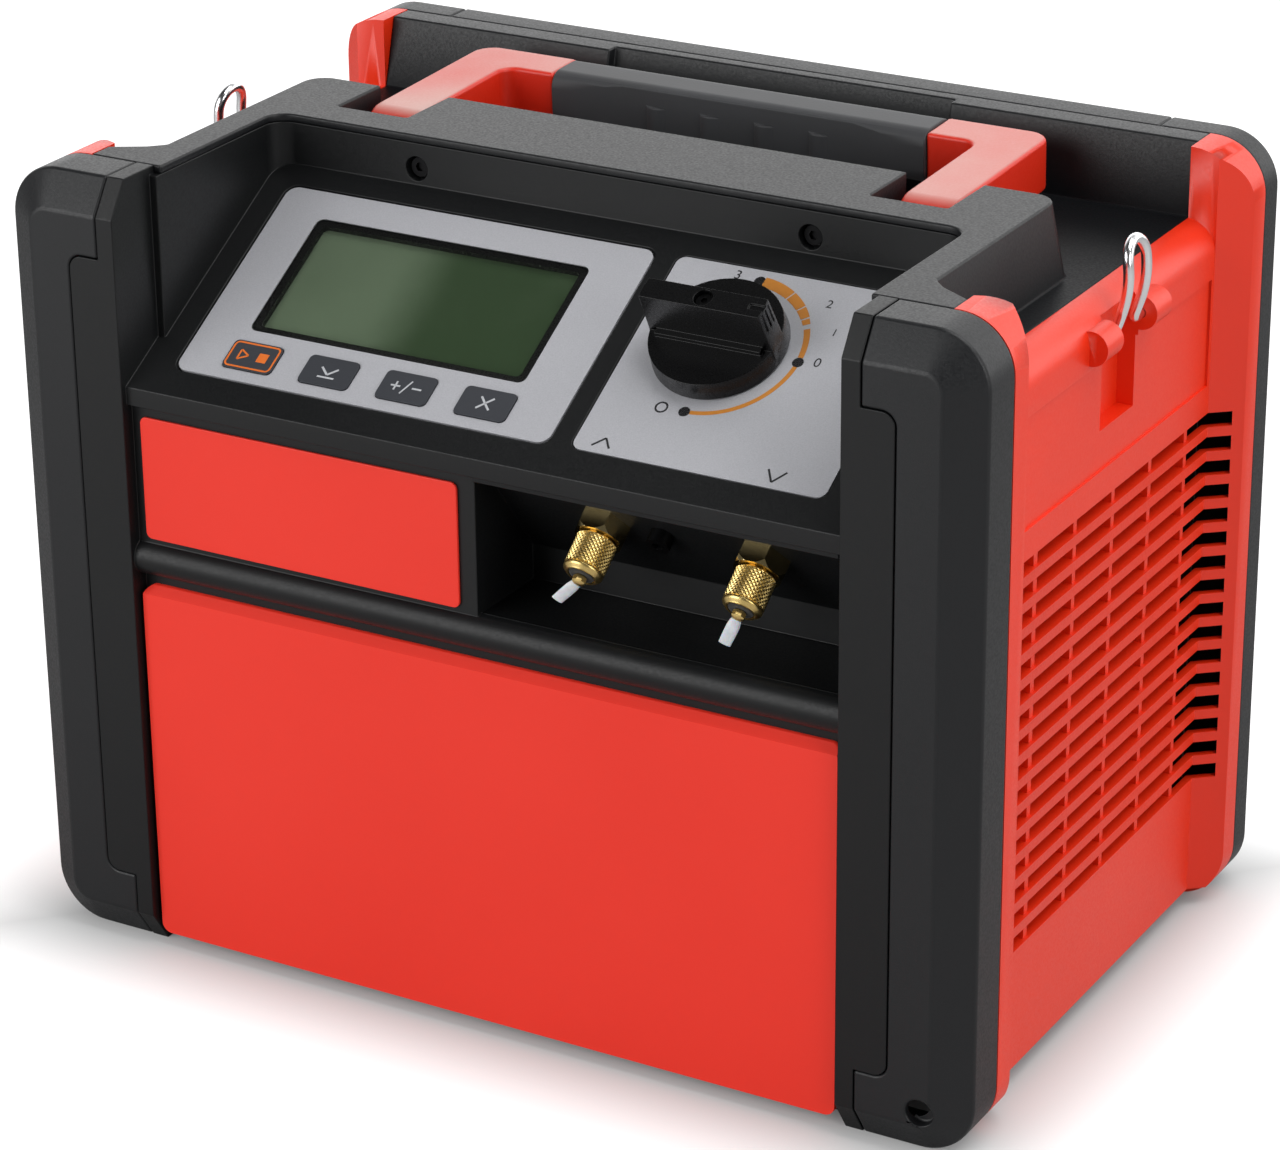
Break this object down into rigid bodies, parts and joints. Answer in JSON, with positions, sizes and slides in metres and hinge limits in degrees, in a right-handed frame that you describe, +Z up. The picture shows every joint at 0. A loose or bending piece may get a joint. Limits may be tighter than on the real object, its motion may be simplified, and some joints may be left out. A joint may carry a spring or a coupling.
{
  "type": "refrigerant recovery machine",
  "caption": "Portable refrigerant recovery machine in red and black plastic with a display, selector knob, capped service ports, strap hooks and a swing handle.",
  "frame": {"origin": "bottom centre of the machine, on the floor between the four bumpers", "axes": "-Y out of the control front, +X to the right as seen from the front, +Z up"},
  "size_m": [0.384, 0.2551, 0.299],
  "materials": {
    "red_shell": "moulded red plastic with a fine grain",
    "red_label": "bare red label plate, satin",
    "black_shell": "moulded near-black plastic with a fine grain",
    "soft_grip": "soft overmoulded grip",
    "knob_black": "satin black",
    "silver_overlay": "silver printed foil, satin",
    "key_face": "dark grey membrane keys",
    "lens_clear": "clear window",
    "lcd_face": "unlit green-grey display",
    "board_green": "circuit board",
    "brass_fitting": "machined",
    "tether_white": "translucent soft plastic",
    "pan_steel": "plain sheet and turned steel",
    "hook_chrome": "plated wire",
    "screw_black": "blackened steel",
    "cast_alloy": "die cast",
    "motor_black": "painted",
    "mount_rubber": "rubber",
    "fan_black": "moulded",
    "coil_alloy": "plain fins",
    "copper_pipe": "drawn copper pipe",
    "inlet_black": "moulded"
  },
  "bodies": {
    "housing": {"front_panel": "red_shell", "side_panel_left": "red_shell", "side_panel_right": "red_shell", "label_plate": "red_label", "front_fascia": "black_shell", "front_bumper_left": "black_shell", "front_bumper_right": "black_shell", "rear_bumper_left": "black_shell", "rear_bumper_right": "black_shell", "top_cover": "black_shell", "rear_cover": "black_shell", "display_overlay": "silver_overlay", "dial_plate": "silver_overlay", "display_lens": "lens_clear", "lcd_module": "lcd_face", "control_board": "board_green", "inlet_fitting": "brass_fitting", "outlet_fitting": "brass_fitting", "valve_body": "brass_fitting", "base_tray": "pan_steel", "handle_pins": "pan_steel", "port_screw": "screw_black", "fascia_screws": "screw_black", "crankcase": "cast_alloy", "cylinder_head_left": "cast_alloy", "cylinder_head_right": "cast_alloy", "port_block": "cast_alloy", "fan_motor": "cast_alloy", "compressor_motor": "motor_black", "motor_mounts": "mount_rubber", "fan_shroud": "fan_black", "condenser": "coil_alloy", "suction_pipe": "copper_pipe", "discharge_pipe": "copper_pipe", "mains_inlet": "inlet_black", "switch_frame": "inlet_black"},
    "handle": {"handle_frame": "red_shell", "handle_grip": "soft_grip"},
    "knob": {"valve_knob": "knob_black", "knob_screw": "pan_steel", "valve_stem": "pan_steel"},
    "key_one": {"key_1": "key_face"},
    "key_two": {"key_2": "key_face"},
    "key_three": {"key_3": "key_face"},
    "key_four": {"key_4": "key_face"},
    "inlet_tether": {"inlet_strap": "tether_white"},
    "inlet_cap_body": {"inlet_cap": "brass_fitting"},
    "outlet_tether": {"outlet_strap": "tether_white"},
    "outlet_cap_body": {"outlet_cap": "brass_fitting"},
    "left_hook": {"hook_left": "hook_chrome"},
    "right_hook": {"hook_right": "hook_chrome"},
    "fan": {"fan_blades": "fan_black"},
    "rocker": {"switch_rocker": "inlet_black"}
  },
  "joints": [
    {"name": "handle_swing", "type": "hinge", "parent": "housing", "child": "handle", "pos_m": [0, 0.0085, 0.2857], "axis": [1, 0, 0], "range_deg": [0, 88]},
    {"name": "knob_turn", "type": "hinge", "parent": "housing", "child": "knob", "pos_m": [0.0664, -0.06752, 0.2573], "axis": [0, -0.5075, 0.8616], "range_deg": [-90, 90]},
    {"name": "key_one_press", "type": "slide", "parent": "housing", "child": "key_one", "axis": [0, 0.5075, -0.8616], "range_m": [0, 0.0004], "stiffness_N_per_m": 800},
    {"name": "key_two_press", "type": "slide", "parent": "housing", "child": "key_two", "axis": [0, 0.5075, -0.8616], "range_m": [0, 0.0004], "stiffness_N_per_m": 800},
    {"name": "key_three_press", "type": "slide", "parent": "housing", "child": "key_three", "axis": [0, 0.5075, -0.8616], "range_m": [0, 0.0004], "stiffness_N_per_m": 800},
    {"name": "key_four_press", "type": "slide", "parent": "housing", "child": "key_four", "axis": [0, 0.5075, -0.8616], "range_m": [0, 0.0004], "stiffness_N_per_m": 800},
    {"name": "inlet_cap_lift", "type": "slide", "parent": "housing", "child": "inlet_tether", "axis": [0, -0.788, -0.6157], "range_m": [0, 0.00635]},
    {"name": "inlet_cap_turn", "type": "hinge", "parent": "inlet_tether", "child": "inlet_cap_body", "pos_m": [0.0405, -0.10224, 0.19956], "axis": [0, -0.788, -0.6157], "range_deg": [0, 1836]},
    {"name": "outlet_cap_lift", "type": "slide", "parent": "housing", "child": "outlet_tether", "axis": [0, -0.788, -0.6157], "range_m": [0, 0.00635]},
    {"name": "outlet_cap_turn", "type": "hinge", "parent": "outlet_tether", "child": "outlet_cap_body", "pos_m": [0.1021, -0.10224, 0.19956], "axis": [0, -0.788, -0.6157], "range_deg": [0, 1836]},
    {"name": "hook_right_fold", "type": "hinge", "parent": "housing", "child": "right_hook", "pos_m": [0.182, 0.0073, 0.2605], "axis": [0, 1, 0], "range_deg": [0, 184]},
    {"name": "hook_left_fold", "type": "hinge", "parent": "housing", "child": "left_hook", "pos_m": [-0.182, 0.0073, 0.2605], "axis": [0, -1, 0], "range_deg": [0, 184]},
    {"name": "fan_spin", "type": "hinge", "parent": "housing", "child": "fan", "pos_m": [0.1675, 0.0005, 0.124], "axis": [1, 0, 0], "continuous": true},
    {"name": "switch_rock", "type": "hinge", "parent": "housing", "child": "rocker", "pos_m": [-0.04, 0.1223, 0.084], "axis": [0, 0, -1], "range_deg": [0, 16]}
  ],
  "couplings": [
    {"joint": "inlet_cap_turn", "follows": "inlet_cap_lift", "rad_per_m": 4947.4},
    {"joint": "outlet_cap_turn", "follows": "outlet_cap_lift", "rad_per_m": 4947.4}
  ]
}
